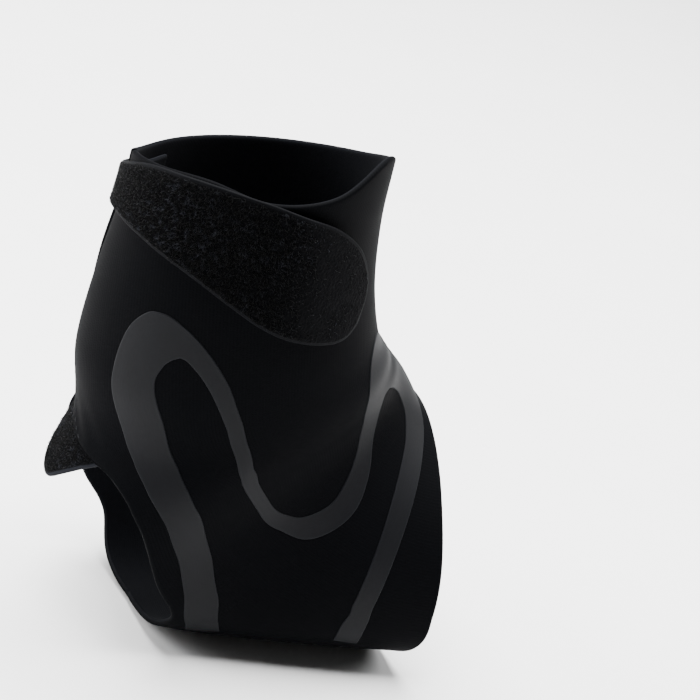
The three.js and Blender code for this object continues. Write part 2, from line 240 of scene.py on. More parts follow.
def between(column, at):
    """A smooth value of one column of a table, at places counted in rows."""
    at = np.asarray(at, float)
    low = np.clip(np.floor(at), 0, len(column) - 2).astype(int)
    t = at - low
    ends = np.concatenate([[2 * column[0] - column[1]], column, [2 * column[-1] - column[-2]]])
    p0, p1, p2, p3 = (ends[low + k] for k in range(4))
    bend = 2 * p0 - 5 * p1 + 4 * p2 - p3
    twist = 3 * (p1 - p2) + p3 - p0
    return p1 + 0.5 * t * (p2 - p0 + t * (bend + t * twist))


def sections():
    """Every section's own numbers in metres, from the collar down and forward to the toe opening."""
    leg, foot = LEG_SECTIONS, FOOT_SECTIONS
    plain = np.zeros(len(leg["front"]))
    reach_back = np.where(foot["back"] > 0, SOLE_REACH, HEEL_REACH)
    return {
        "front_x": np.append(leg["front"] * LEG_DEPTH, foot["front"] * SOLE_REACH),
        "front_z": np.append(
            CREASE_HEIGHT + leg["front_rise"] * (COLLAR_HEIGHT - CREASE_HEIGHT),
            CREASE_HEIGHT + foot["drop"] * (INSTEP_HEIGHT - CREASE_HEIGHT),
        ),
        "back_x": np.append(-leg["back"] * LEG_DEPTH, foot["back"] * reach_back),
        "back_z": np.append(
            HEEL_HEIGHT + leg["back_rise"] * (COLLAR_HEIGHT - HEEL_HEIGHT),
            foot["rise"] * HEEL_HEIGHT,
        ),
        "half": np.append(leg["width"] * LEG_WIDTH / 2, foot["width"] * FOOT_WIDTH / 2),
        "waist": np.append(leg["waist"], foot["waist"]),
        "square": np.append(plain + 2, foot["square"]),
        "side": np.append(plain, foot["side"] * FOOT_WIDTH),
        "ridge": np.append(plain, foot["ridge"] * FOOT_WIDTH),
    }


SECTIONS = sections()
LAST = len(SECTIONS["half"]) - 1


def unit(v):
    return v / np.maximum(np.linalg.norm(v, axis=-1, keepdims=True), 1e-12)


def face_point(place, turn):
    """Points of the brace's inner face."""
    place, turn = np.broadcast_arrays(np.asarray(place, float), np.asarray(turn, float))
    q = {key: between(column, place) for key, column in SECTIONS.items()}
    c, s = np.cos(np.radians(turn)), np.sin(np.radians(turn))
    power = np.where(c < 0, q["square"], 2.0)
    reach = (np.abs(c) ** power + np.abs(s) ** power) ** (-1 / power)
    along = q["waist"] + c * reach * np.where(c < 0, q["waist"], 1 - q["waist"])
    lean = np.where(c > 0, q["ridge"] * c * c, 0)
    return np.stack([
        q["back_x"] + along * (q["front_x"] - q["back_x"]),
        q["side"] + lean - s * reach * q["half"],
        q["back_z"] + along * (q["front_z"] - q["back_z"]),
    ], axis=-1)


def slopes(place, turn, place_step=0.02, turn_step=0.6):
    """The directions of growing place and growing turn on the inner face, per section and per degree."""
    down = (face_point(place + place_step, turn) - face_point(place - place_step, turn)) / (2 * place_step)
    round_ = (face_point(place, turn + turn_step) - face_point(place, turn - turn_step)) / (2 * turn_step)
    return down, round_


def outward(place, turn):
    down, round_ = slopes(place, turn)
    return unit(np.cross(round_, down))


def raised(place, turn, lift):
    """The points that lie so far outside the inner face."""
    return face_point(place, turn) + outward(place, turn) * np.asarray(lift)[..., None]


def trimmed(place, turn):
    """Places of the body, moved so that the rims of the collar and the toe opening have their own shapes."""
    at = np.where(turn < RIM_FIRST, turn + 360 - RIM_FIRST, turn - RIM_FIRST) / RIM_STEP
    at_collar = np.clip(1 - place / COLLAR_BLEND, 0, None)
    at_toe = np.clip(1 - (LAST - place) / TOE_BLEND, 0, None)
    return place + between(RIMS["collar"], at) * at_collar + (between(RIMS["toe"], at) - LAST) * at_toe


def smooth(x, low, high):
    """0 below low, 1 above high and a soft step between."""
    t = np.clip((np.asarray(x, float) - low) / (high - low), 0, 1)
    return t * t * (3 - 2 * t)


def packed(count, near=(), far=()):
    """Shares from 0 to 1, evenly spread, with more of them close to the ends."""
    inner = np.linspace(0, 1, count + 1)
    keep = inner[(inner > max(near, default=0)) & (inner < 1 - max(far, default=0))]
    return np.concatenate([[0], near, keep, 1 - np.array(far[::-1], float), [1]])


# Meshes

def mesh_object(name, points, quads, corners=None, edge=None, slots=None, materials=()):
    """A smooth mesh piece. corners are the weave's own coordinates for each quad, in metres, and edge is each
    point's distance from the cloth's cut edge, also in metres."""
    mesh = bpy.data.meshes.new(name)
    mesh.from_pydata([], [], [])
    quads = np.asarray(quads, dtype=np.int32)
    mesh.vertices.add(len(points))
    mesh.vertices.foreach_set("co", np.asarray(points, np.float32).ravel())
    mesh.loops.add(quads.size)
    mesh.loops.foreach_set("vertex_index", quads.ravel())
    mesh.polygons.add(len(quads))
    mesh.polygons.foreach_set("loop_start", np.arange(0, quads.size, 4, dtype=np.int32))
    mesh.polygons.foreach_set("use_smooth", np.ones(len(quads), dtype=bool))
    if slots is not None:
        mesh.polygons.foreach_set("material_index", np.asarray(slots, dtype=np.int32))
    if corners is not None:
        layer = mesh.uv_layers.new(name="weave")
        layer.data.foreach_set("uv", np.asarray(corners, np.float32).ravel())
    if edge is not None:
        mesh.attributes.new("edge", "FLOAT", "POINT").data.foreach_set("value", np.asarray(edge, np.float32))
    mesh.update(calc_edges=True)
    mesh.validate()
    piece = bpy.data.objects.new(name, mesh)
    bpy.context.scene.collection.objects.link(piece)
    for material in materials:
        mesh.materials.append(material)
    return piece


def edge_distance(grid, closed_rows):
    """Each grid point's distance from the cloth's cut edge. The last closed_rows rows have no side edges."""
    rows = grid.shape[0] - closed_rows
    edges = np.concatenate([grid[0], grid[-1], grid[:rows, 0], grid[:rows, -1]])
    tree = KDTree(len(edges))
    for k, point in enumerate(edges):
        tree.insert(point, k)
    tree.balance()
    flat = grid.reshape(-1, 3)
    return np.array([tree.find(point)[2] for point in flat]).reshape(grid.shape[:2])


def run_along(points, axis):
    """The distance gone along each line of a grid of points."""
    steps = np.linalg.norm(np.diff(points, axis=axis), axis=2)
    return np.pad(np.cumsum(steps, axis=axis), [(int(k == axis), 0) for k in range(2)])


def cloth_shell(name, place, turn, lift, wall, materials, closed_rows=0, profile=None):
    """A closed cloth of even thickness with rounded edges, laid on the form.

    place and turn are grids with place growing down and turn falling across. lift is the height of the
    cloth's inner side. profile(edge) may thin it, from the distance to its edge.
    """
    middle = raised(place, turn, lift + wall / 2)
    edge = edge_distance(middle, closed_rows)
    normal = outward(place, turn)
    half = wall / 2 * np.sqrt(np.clip(1 - (1 - np.clip(edge / (wall / 2), 0, 1)) ** 2, 0, 1))
    thin = profile(edge) if profile is not None else 0
    outer = middle + normal * (half - thin)[..., None]
    inner = middle - normal * half[..., None]
    rows, columns = middle.shape[:2]
    index = np.arange(rows * columns).reshape(rows, columns)
    if closed_rows:
        index[rows - closed_rows:, -1] = index[rows - closed_rows:, 0]
    below = index + rows * columns
    rim = np.zeros((rows, columns), bool)
    rim[[0, -1], :] = True
    rim[: rows - closed_rows + 1, [0, -1]] = True
    below[rim] = index[rim]
    across = run_along(middle, 1)
    across = across - across[:, columns // 2][:, None]
    weave = np.stack([across, run_along(middle, 0)], axis=-1)

    def quads(ids, turned):
        order = [ids[:-1, :-1], ids[1:, :-1], ids[1:, 1:], ids[:-1, 1:]]
        uv = [weave[:-1, :-1], weave[1:, :-1], weave[1:, 1:], weave[:-1, 1:]]
        if turned:
            order, uv = order[::-1], uv[::-1]
        return np.stack(order, axis=-1).reshape(-1, 4), np.stack(uv, axis=2).reshape(-1, 4, 2)

    front, front_uv = quads(index, False)
    back, back_uv = quads(below, True)
    faces, corners = np.concatenate([front, back]), np.concatenate([front_uv, back_uv])
    slots = np.concatenate([np.zeros(len(front)), np.ones(len(back))]) if len(materials) > 1 else None
    points = np.concatenate([outer.reshape(-1, 3), inner.reshape(-1, 3)])
    edges = np.concatenate([edge.ravel(), edge.ravel()])
    used = np.unique(faces)
    renumber = np.zeros(len(points), int)
    renumber[used] = np.arange(len(used))
    return mesh_object(name, points[used], renumber[faces], corners, edges[used], slots, materials)


def strand_mesh(name, paths, sides_up, radius, sides, materials):
    """Many short round strands as one mesh. paths is (strands, points, 3) and radius may vary along them."""
    count, steps = paths.shape[:2]
    along = unit(np.gradient(paths, axis=1))
    side = unit(np.cross(along, sides_up[:, None, :]))
    up = np.cross(side, along)
    angle = 2 * math.pi * np.arange(sides) / sides
    ring = side[:, :, None, :] * np.cos(angle)[:, None] + up[:, :, None, :] * np.sin(angle)[:, None]
    radius = np.broadcast_to(radius, (count, steps))[..., None, None]
    points = (paths[:, :, None, :] + ring * radius).reshape(-1, 3)
    ids = np.arange(count * steps * sides).reshape(count, steps, sides)
    nxt = np.roll(ids, -1, axis=2)
    quads = np.stack([ids[:, :-1], nxt[:, :-1], nxt[:, 1:], ids[:, 1:]], axis=-1).reshape(-1, 4)
    return mesh_object(name, points, quads, materials=materials)


# Materials

class Value:
    """A socket that takes part in Python expressions, which add its Math nodes."""

    def __init__(self, finish, socket):
        self.finish = finish
        self.socket = socket

    def math(self, operation, *values):
        return self.finish.node("ShaderNodeMath", {"operation": operation}, dict(enumerate(values)))

    def __add__(self, other):
        return self.math("ADD", self, other)

    def __rsub__(self, other):
        return self.math("SUBTRACT", other, self)

    def __mul__(self, other):
        return self.math("MULTIPLY", self, other)

    def __truediv__(self, other):
        return self.math("DIVIDE", self, other)

    __radd__ = __add__
    __rmul__ = __mul__

    def sine(self):
        return self.math("SINE", self)

    def step(self, low, high):
        """0 below low and 1 above high, with a soft step between."""
        return self.finish.node(
            "ShaderNodeMapRange",
            {"interpolation_type": "SMOOTHSTEP"},
            {"Value": self, "From Min": low, "From Max": high},
        )


# The sockets of a colour's Mix node
MIX_SHARE = 0
MIX_LOW = 6
MIX_HIGH = 7
MIX_COLOUR = 2


class Finish:
    """One material, with the nodes that paint it."""

    def __init__(self, name, **shader):
        self.material = bpy.data.materials.new(name)
        self.material.use_nodes = True
        self.tree = self.material.node_tree
        self.shader = self.tree.nodes["Principled BSDF"]
        self.set(**shader)

    def node(self, kind, settings=None, inputs=None, output=0):
        """Adds a node: its settings first, then the values or links of its sockets."""
        node = self.tree.nodes.new(kind)
        for key, value in (settings or {}).items():
            setattr(node, key, value)
        for key, value in (inputs or {}).items():
            self.feed(node.inputs[key], value)
        return Value(self, node.outputs[output])

    def feed(self, socket, value):
        if isinstance(value, Value):
            self.tree.links.new(value.socket, socket)
        elif socket.type == "RGBA":
            socket.default_value = (*value, 1.0)
        else:
            socket.default_value = value

    def set(self, **sockets):
        """Sets sockets of the shader, by their names with underscores for spaces."""
        for key, value in sockets.items():
            self.feed(self.shader.inputs[key.replace("_", " ")], value)

    def weave(self):
        """The cloth's own coordinates across and down, in millimetres."""
        weave = self.node("ShaderNodeUVMap", {"uv_map": "weave"})
        across = self.node("ShaderNodeSeparateXYZ", None, {"Vector": weave}, output="X")
        down = self.node("ShaderNodeSeparateXYZ", None, {"Vector": weave}, output="Y")
        return across / MM, down / MM

    def from_edge(self):
        """The distance from the cloth's cut edge, in millimetres."""
        return self.node("ShaderNodeAttribute", {"attribute_name": "edge"}, output="Fac") / MM

    def place(self):
        return self.node("ShaderNodeTexCoord", output="Object")

    def noise(self, vector, size, detail=2.0, roughness=0.5):
        """Soft noise, with patches of the given size in metres."""
        return self.node(
            "ShaderNodeTexNoise", {"noise_dimensions": "3D"},
            {"Vector": vector, "Scale": 1.0 / size, "Detail": detail, "Roughness": roughness}, output="Fac")

    def cells(self, vector, size):
        """The distance to scattered points that lie about size metres apart."""
        inputs = {"Vector": vector, "Scale": 1.0 / size}
        return self.node("ShaderNodeTexVoronoi", None, inputs, output="Distance")

    def mix(self, share, low, high):
        """One colour turning into another."""
        return self.node(
            "ShaderNodeMix", {"data_type": "RGBA"},
            {MIX_SHARE: share, MIX_LOW: low, MIX_HIGH: high}, output=MIX_COLOUR)

    def tones(self, share, ends):
        """A dark cloth's tone, turning from its darkest to its lightest."""
        return self.mix(share, grey(ends[0]), grey(ends[1]))

    def bump(self, height, depth, strength):
        return self.node("ShaderNodeBump", None, {"Height": height, "Distance": depth, "Strength": strength})


TURN = 2 * math.pi  # a whole wave of a sine
WALE = 1.05  # width of the knit's upright columns, in millimetres
COURSE = 0.8  # height of its rows
LINING_STITCH = 1.1
HOOK_SPACING = (1.1, 1.4)  # across and down the tape

COOL = (0.90, 0.98, 1.28)  # the hue of all the dyed cloth, as shares of red, green and blue

# The tones of each finish, from its darkest to its lightest
KNIT_TONES = (0.0008, 0.0020)
KNIT_THREAD_TONES = (0.0006, 0.0028)
LINING_TONES = (0.0018, 0.0050)
MATTED_TONES = (0.0004, 0.0022)
MATTED_CLOUD = 0.0008
# The pressed borders are lighter than the pile's ground: partly their own tone, partly a painted highlight of
# the lit edge
STRAP_BORDER_AND_HIGHLIGHT = 0.0024
WING_BORDER_AND_HIGHLIGHT = 0.0090
# the fibres' lightest tone is a painted highlight, a glint on the loops
FIBRE_AND_GLINT_TONES = (0.0003, 0.0200)
BAND_TONES = (0.0025, 0.0042)
# a painted highlight along the band's rounded edges
BAND_RIM_HIGHLIGHT = 0.0075
THREAD_TONES = (0.0025, 0.0085)
HOOK_TONES = (0.004, 0.012)
FLOOR_TONES = (0.86, 0.90)


def grey(level):
    return tuple(level * share for share in COOL)


def knit_finish():
    """Fine stretch knit: narrow upright wales crossed by small stitches, matt with a faint bloom."""
    finish = Finish("body_knit", Sheen_Weight=0.004, Sheen_Roughness=0.35, Specular_IOR_Level=0.02)
    across, down = finish.weave()
    spot = finish.place()
    drift = finish.noise(spot, size=7 * MM, detail=3.0)
    wale = (across * (TURN / WALE) + drift * 1.2).sine()
    course = (down * (TURN / COURSE) + (across * (TURN / (2 * WALE))).sine() * 1.1).sine()
    cloud = finish.noise(spot, size=24 * MM, detail=4.0)
    lint = finish.noise(spot, size=0.4 * MM, detail=3.0, roughness=0.7)
    height = wale * 0.30 + course * 0.22 + lint * 0.55
    stitch = (wale * 0.25 + course * 0.25 + 0.5) * 0.6
    tone = finish.tones(cloud, KNIT_TONES)
    thread = finish.tones(stitch + lint * 0.4, KNIT_THREAD_TONES)
    finish.set(
        Base_Color=finish.mix(0.5, tone, thread),
        Roughness=0.64 + 0.2 * cloud,
        Normal=finish.bump(height, depth=0.09 * MM, strength=0.5),
    )
    return finish.material


def lining_finish(name):
    """The inner side: a brushed fine knit, duller than the face."""
    finish = Finish(name, Sheen_Weight=0.01, Sheen_Roughness=0.5, Specular_IOR_Level=0.03)
    across, down = finish.weave()
    spot = finish.place()
    cross = (across * (TURN / LINING_STITCH)).sine() * (down * (TURN / LINING_STITCH)).sine()
    cloud = finish.noise(spot, size=14 * MM, detail=3.0)
    nap = finish.noise(spot, size=0.5 * MM, detail=3.0, roughness=0.7)
    finish.set(
        Base_Color=finish.tones(cloud * 0.5 + nap * 0.5, LINING_TONES),
        Roughness=0.86 + 0.1 * nap,
        Normal=finish.bump(cross * 0.3 + nap, depth=0.14 * MM, strength=0.6),
    )
    return finish.material


def pile_ground_finish(name, border):
    """The ground of the loop fabric: matted loops inside, and a pressed, sealed border along the cut edge,
    which is lighter: partly its own tone, partly a painted highlight where its edge catches light.
    """
    finish = Finish(name, Sheen_Weight=0.008, Sheen_Roughness=0.6, Specular_IOR_Level=0.03)
    edge = finish.from_edge()
    spot = finish.place()
    loops = finish.cells(spot, size=0.9 * MM)
    fuzz = finish.noise(spot, size=0.45 * MM, detail=3.0, roughness=0.65)
    cloud = finish.noise(spot, size=12 * MM, detail=3.0)
    inside = edge.step(BORDER_WIDTH / MM - 0.2, BORDER_WIDTH / MM + 0.3)
    matted = finish.tones(loops * 0.7 + fuzz * 0.4, MATTED_TONES)
    matted = finish.mix(cloud * 0.5, matted, grey(MATTED_CLOUD))
    # the border's tone: partly its own, partly a painted highlight of the lit edge
    pressed = finish.tones(fuzz, (border * 0.8, border * 1.25))
    finish.set(
        Base_Color=finish.mix(inside, pressed, matted),
        Roughness=0.70 + 0.22 * inside,
        Normal=finish.bump((loops + fuzz * 0.6) * inside + fuzz * 0.15, depth=0.35 * MM, strength=0.8),
    )
    return finish.material


def fibre_finish():
    """The standing loops: black nylon with a painted highlight in the base colour, a glint that differs from
    loop to loop.
    """
    finish = Finish("pile_fibre", Sheen_Weight=0.008, Specular_IOR_Level=0.09)
    spot = finish.place()
    # painted highlight: scattered specks of the loops are lightened, more strongly in some patches than in
    # others
    glint_specks = finish.noise(spot, size=1.9 * MM)
    patch = finish.noise(spot, size=26 * MM, detail=3.0)
    glint_patches = patch.step(0.40, 0.62)
    painted_glint = glint_specks.step(0.48, 0.70) * (glint_patches * 0.8 + 0.2)
    finish.set(
        Base_Color=finish.tones(painted_glint, FIBRE_AND_GLINT_TONES),
        Roughness=0.44 + 0.3 * patch,
    )
    return finish.material


def band_finish():
    """The bonded support band: a satin rubbery print, pressed over the knit so that its wales just show."""
    finish = Finish("band_film", Sheen_Weight=0.006, Specular_IOR_Level=0.09)
    edge = finish.from_edge()
    spot = finish.place()
    _, down = finish.weave()
    grain = finish.noise(spot, size=0.5 * MM)
    cloud = finish.noise(spot, size=16 * MM, detail=3.0)
    wale = (down * (TURN / WALE)).sine()
    # painted highlight: the band's colour is lightened along its rounded edges
    rim = 1 - edge.step(0.1, 1.0)
    tone = finish.tones(cloud, BAND_TONES)
    finish.set(
        Base_Color=finish.mix(rim * 0.3, tone, grey(BAND_RIM_HIGHLIGHT)),
        Roughness=0.52 + 0.14 * grain,
        Normal=finish.bump(grain * 0.6 + wale * 0.12, depth=0.05 * MM, strength=0.5),
    )
    return finish.material


def thread_finish():
    finish = Finish("sewing_thread", Sheen_Weight=0.01, Specular_IOR_Level=0.1)
    spot = finish.place()
    twist = finish.noise(spot, size=0.3 * MM)
    finish.set(
        Base_Color=finish.tones(twist, THREAD_TONES),
        Roughness=0.48 + 0.2 * twist,
        Normal=finish.bump(twist, depth=0.05 * MM, strength=0.6),
    )
    return finish.material


def hook_finish():
    """The hidden hook tape: fine rows of plastic hooks on a woven tape."""
    finish = Finish("hook_tape", Specular_IOR_Level=0.3)
    across, down = finish.weave()
    hooks = (across * (TURN / HOOK_SPACING[0])).sine() * (down * (TURN / HOOK_SPACING[1])).sine()
    finish.set(
        Base_Color=finish.tones(hooks * 0.5 + 0.5, HOOK_TONES),
        Roughness=0.55 + 0.1 * hooks,
        Normal=finish.bump(hooks, depth=0.3 * MM, strength=0.8),
    )
    return finish.material


def floor_finish():
    finish = Finish("pale_floor", Specular_IOR_Level=0.2)
    spot = finish.place()
    grain = finish.noise(spot, size=60 * MM, detail=3.0)
    low, high = ((tone,) * 3 for tone in FLOOR_TONES)
    finish.set(
        Base_Color=finish.mix(grain, low, high),
        Roughness=0.82 + 0.1 * grain,
    )
    return finish.material


# The camera, the floor and the light

def camera():
    """Sets the camera so that the aimed point falls on its pixel of the photograph."""
    azimuth, elevation, roll = (math.radians(a) for a in (CAMERA_AZIMUTH, CAMERA_ELEVATION, CAMERA_ROLL))
    toward = np.array([
        math.sin(azimuth) * math.cos(elevation),
        -math.cos(azimuth) * math.cos(elevation),
        math.sin(elevation),
    ])
    level = unit(np.cross(-toward, [0, 0, 1.0]))
    upright = np.cross(level, -toward)
    right = math.cos(roll) * level + math.sin(roll) * upright
    up = math.cos(roll) * upright - math.sin(roll) * level
    aside = (AIM_PIXEL[0] - PHOTO_SIZE / 2) / CAMERA_FOCAL
    above = (PHOTO_SIZE / 2 - AIM_PIXEL[1]) / CAMERA_FOCAL
    position = np.array(AIM_POINT) - CAMERA_DISTANCE * (-toward + aside * right + above * up)
    data = bpy.data.cameras.new("camera")
    data.sensor_width = CAMERA_SENSOR
    data.lens = CAMERA_FOCAL * CAMERA_SENSOR / PHOTO_SIZE
    data.clip_end = CAMERA_REACH
    piece = bpy.data.objects.new("camera", data)
    piece.matrix_world = Matrix((
        (right[0], up[0], toward[0], position[0]),
        (right[1], up[1], toward[1], position[1]),
        (right[2], up[2], toward[2], position[2]),
        (0, 0, 0, 1),
    ))
    bpy.context.scene.collection.objects.link(piece)
    bpy.context.scene.camera = piece
    return right, up, toward


FLOOR_SIZE = 6.0
FLOOR_GAP = 0.0002


def floor(height):
    half = FLOOR_SIZE / 2
    corners = [(-half, -half, height), (half, -half, height), (half, half, height), (-half, half, height)]
    piece = mesh_object("floor", corners, [(0, 1, 2, 3)], materials=[floor_finish()])


def soft_light(name, direction, distance, size, power):
    """A square soft light that faces the brace from a direction."""
    data = bpy.data.lights.new(name, "AREA")
    data.size = size
    data.energy = power
    piece = bpy.data.objects.new(name, data)
    back = unit(np.array(direction, float))
    side = unit(np.cross([0, 0, 1.0], back))
    over = np.cross(back, side)
    spot = np.array(AIM_POINT) + back * distance
    piece.matrix_world = Matrix([
        [side[k], over[k], back[k], spot[k]] for k in range(3)
    ] + [[0, 0, 0, 1]])
    bpy.context.scene.collection.objects.link(piece)


WORLD_LIGHT = 0.07


def lights(right, up, toward):
    """Two small lights beside the camera's view and a large one above. Metres and watts."""
    back_left = -0.9 * right + 0.6 * up + 0.15 * toward
    front_right = 0.95 * right + 0.4 * up - 0.15 * toward
    soft_light("light_back_left", back_left, distance=0.6, size=0.4, power=6)
    soft_light("light_front_right", front_right, distance=1.0, size=0.5, power=8)
    soft_light("light_above", (0.0, 0.25, 1.0), distance=1.5, size=1.6, power=165)
    world = bpy.data.worlds.new("studio")
    world.use_nodes = True
    background = world.node_tree.nodes["Background"]
    background.inputs["Color"].default_value = (1.0, 1.0, 1.0, 1.0)
    background.inputs["Strength"].default_value = WORLD_LIGHT
    bpy.context.scene.world = world


# The pieces of the brace

# Where a cloth has extra rows beside its cut edges, in millimetres from the edge, and the rough lengths of
# the cloths, also in millimetres, which turn those steps into shares
EDGE_STEPS = (0.15, 0.4, 0.75, 1.2)
SECTION_LENGTH = 25
BODY_LENGTH = 220
WING_HEIGHT = 95
WING_LENGTH = 70
STRAP_WIDTH = 30
STRAP_LENGTH = 170

# How finely the cloths are divided: down, then across
BODY_ROWS = 46
BODY_COLUMNS = 150
OPEN_ROWS = 0.1  # the body's step beside the leg, in rows of its back edges
HEEL_ROWS = 0.125  # and beside the open heel
SOLE_ROWS = 17  # in the last two rows, where the sole closes
SOLE_STEPS = (0.0, 0.004, 0.010, 0.018)
WING_GRID = (90, 80)
STRAP_GRID = (64, 250)
STRAP_TIP_STEPS = (0.0008, 0.002, 0.004)
HOOK_GRID = (24, 40)
BAND_GRID = (26, 420)
BAND_SIDE_STEPS = (0.008, 0.02, 0.035)
BAND_END_STEPS = (0.0003, 0.0008)


def edge_steps(length):
    """The extra rows beside an edge, as shares of a cloth's length."""
    return tuple(s / length for s in EDGE_STEPS)


def body_edges(at):
    return {key: between(column, at) for key, column in BACK_EDGES.items()}


def body_grid():
    """Places and turns of the body, with closed rows below the rear edge of the sole band."""
    last = len(BACK_EDGES["place"]) - 1
    open_at = np.concatenate([
        [0],
        edge_steps(SECTION_LENGTH),
        np.arange(OPEN_ROWS, 3, OPEN_ROWS),
        np.arange(3, last - 2, HEEL_ROWS),
        np.linspace(last - 2, last, SOLE_ROWS)[:-1],
    ])
    rows = body_edges(open_at)
    sole_edge = BACK_EDGES["place"][-1]
    shares = packed(BODY_ROWS, near=SOLE_STEPS, far=edge_steps(2 * SECTION_LENGTH))
    closed = sole_edge + (LAST - sole_edge) * shares[1:]
    place = np.concatenate([rows["place"], closed])
    near = np.concatenate([rows["outer"], np.full(len(closed), 180.0)])
    far = np.concatenate([rows["inner"], np.full(len(closed), -180.0)])
    steps = edge_steps(BODY_LENGTH)
    u = packed(BODY_COLUMNS, near=steps, far=steps)
    turn = near[:, None] + (far - near)[:, None] * u[None, :]
    return trimmed(place[:, None] + 0 * turn, turn), turn, len(closed)


def body():
    place, turn, closed_rows = body_grid()
    folds = body_folds(place, turn)
    finishes = [knit_finish(), lining_finish("body_lining")]
    piece = cloth_shell("knit_body", place, turn, folds, BODY_WALL, finishes, closed_rows)
    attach(piece, "root")
    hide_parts("sleeve_body")
    return piece


# Where the worn cloth folds and puckers, as a place and a turn, how far that reaches, and how deep it is
BEND_SPOT = (4.3, 5)
BEND_REACH = (1.1, 45)
BEND_DEPTH = 0.14 * MM
BEND_WAVES = (5.2, 2.0)  # radians of the wave for each section, and for each radian of turn
PUCKER_SPOT = (4.05, 176)
PUCKER_REACH = (0.35, 16)
PUCKER_DEPTH = 0.16 * MM
PUCKER_WAVES = (14, 26)
DRAPE_DEPTH = 0.25 * MM
DRAPE_WAVES = (1.3, 3)
DRAPE_PLACES = (0.6, 1.8)  # sections below the collar over which the drape sets in


def around(place, turn, spot, reach):
    """1 at a spot of the cloth, falling off softly over its reach."""
    return np.exp(-((place - spot[0]) / reach[0]) ** 2) * np.exp(-((turn - spot[1]) / reach[1]) ** 2)


def waves(place, turn, rate):
    return np.sin(place * rate[0] + np.radians(turn) * rate[1])


def body_folds(place, turn):
    """Soft dents and ripples of the worn cloth: how far it lifts off the form."""
    bend = around(place, turn, BEND_SPOT, BEND_REACH)
    puckers = around(place, turn, PUCKER_SPOT, PUCKER_REACH)
    draped = smooth(place, *DRAPE_PLACES) * (1 - bend)
    folds = BEND_DEPTH * bend * waves(place, turn, BEND_WAVES)
    folds = folds + PUCKER_DEPTH * puckers * waves(place, turn, PUCKER_WAVES)
    return folds + DRAPE_DEPTH * draped * waves(place, turn, DRAPE_WAVES)


def wing():
    """The loop-faced wing behind the heel cord."""
    span = len(WING_EDGES["turn"]) - 1
    v = packed(WING_GRID[0], near=edge_steps(WING_HEIGHT), far=edge_steps(WING_HEIGHT))
    u = packed(WING_GRID[1], near=edge_steps(WING_LENGTH), far=edge_steps(WING_LENGTH))
    at = u * span
    turn = between(WING_EDGES["turn"], at)[None, :] + 0 * v[:, None]
    upper, lower = between(WING_EDGES["upper"], at), between(WING_EDGES["lower"], at)
    place = upper[None, :] + (lower - upper)[None, :] * v[:, None]
    piece = cloth_shell(
        "heel_wing_cloth", place, turn, -LAYER_GAP - WING_WALL + 0 * place, WING_WALL,
        [pile_ground_finish("wing_ground", WING_BORDER_AND_HIGHLIGHT), lining_finish("wing_lining")])
    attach(piece, "root")
    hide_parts("heel_wing")
    return piece


def strap_spot(at, down):
    upper, lower = between(STRAP_EDGES["upper"], at), between(STRAP_EDGES["lower"], at)
    return upper + (lower - upper) * down, between(STRAP_EDGES["turn"], at)


def strap_lift(at):
    """The height of the strap's inner side, which climbs onto the hook patch."""
    climb_end = HOOK_FIRST - STRAP_CLIMB / 3
    climb = HOOK_WALL + 2 * LAYER_GAP - STRAP_GAP
    return BODY_WALL + STRAP_GAP + climb * smooth(at, climb_end - STRAP_CLIMB, climb_end)


def strap_top(place, turn):
    """The height of the strap's outer side at places and turns."""
    rows = np.arange(len(STRAP_EDGES["turn"]))
    return strap_lift(np.interp(-turn, -STRAP_EDGES["turn"], rows)) + STRAP_WALL


BORDER_WIDTH = 0.9 * MM  # of the strap's pressed and sealed border
BORDER_PRESS = 0.12 * MM
BORDER_ROUND = 0.4 * MM  # of its outer edge
BORDER_STEP = 0.3 * MM  # from the border up to the pile


def border_press(edge):
    """How far the sealed border is pressed in, from the distance to the cloth's edge."""
    pressed = smooth(edge, BORDER_ROUND / 2, BORDER_ROUND * 1.5)
    return BORDER_PRESS * pressed * (1 - smooth(edge, BORDER_WIDTH, BORDER_WIDTH + BORDER_STEP))


def strap():
    span = len(STRAP_EDGES["turn"]) - 1
    v = packed(STRAP_GRID[0], near=edge_steps(STRAP_WIDTH), far=edge_steps(STRAP_WIDTH))
    u = packed(STRAP_GRID[1], near=edge_steps(STRAP_LENGTH), far=STRAP_TIP_STEPS)
    at = np.broadcast_to(u[None, :] * span, (len(v), len(u)))
    place, turn = strap_spot(at, v[:, None])
    piece = cloth_shell(
        "strap_cloth", place, turn, strap_lift(at), STRAP_WALL,
        [pile_ground_finish("strap_ground", STRAP_BORDER_AND_HIGHLIGHT)], profile=border_press)
    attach(piece, "root")
    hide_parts("wrap_strap")
    return piece


def hook_patch():
    v, u = packed(HOOK_GRID[0]), packed(HOOK_GRID[1])
    at = np.broadcast_to(HOOK_FIRST + (HOOK_LAST - HOOK_FIRST) * u[None, :], (len(v), len(u)))
    place, turn = strap_spot(at, HOOK_INSET + (1 - 2 * HOOK_INSET) * v[:, None])
    piece = cloth_shell(
        "hook_pad", place, turn, BODY_WALL + LAYER_GAP + 0 * place, HOOK_WALL, [hook_finish()])
    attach(piece, "root")
    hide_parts("hook_patch")
    return piece


def band_spot(on_inner, at, down):
    """Places and turns of a band: at counts rows of its edges, and down goes across it from 0 to 1."""
    edge = {key: between(column, at) for key, column in BAND_EDGES.items()}
    to_front = 1 - down if on_inner else down
    place = edge["rear_place"] + (edge["front_place"] - edge["rear_place"]) * to_front
    turn = edge["rear_turn"] + (edge["front_turn"] - edge["rear_turn"]) * to_front
    return place, edge["shift"] - turn if on_inner else turn


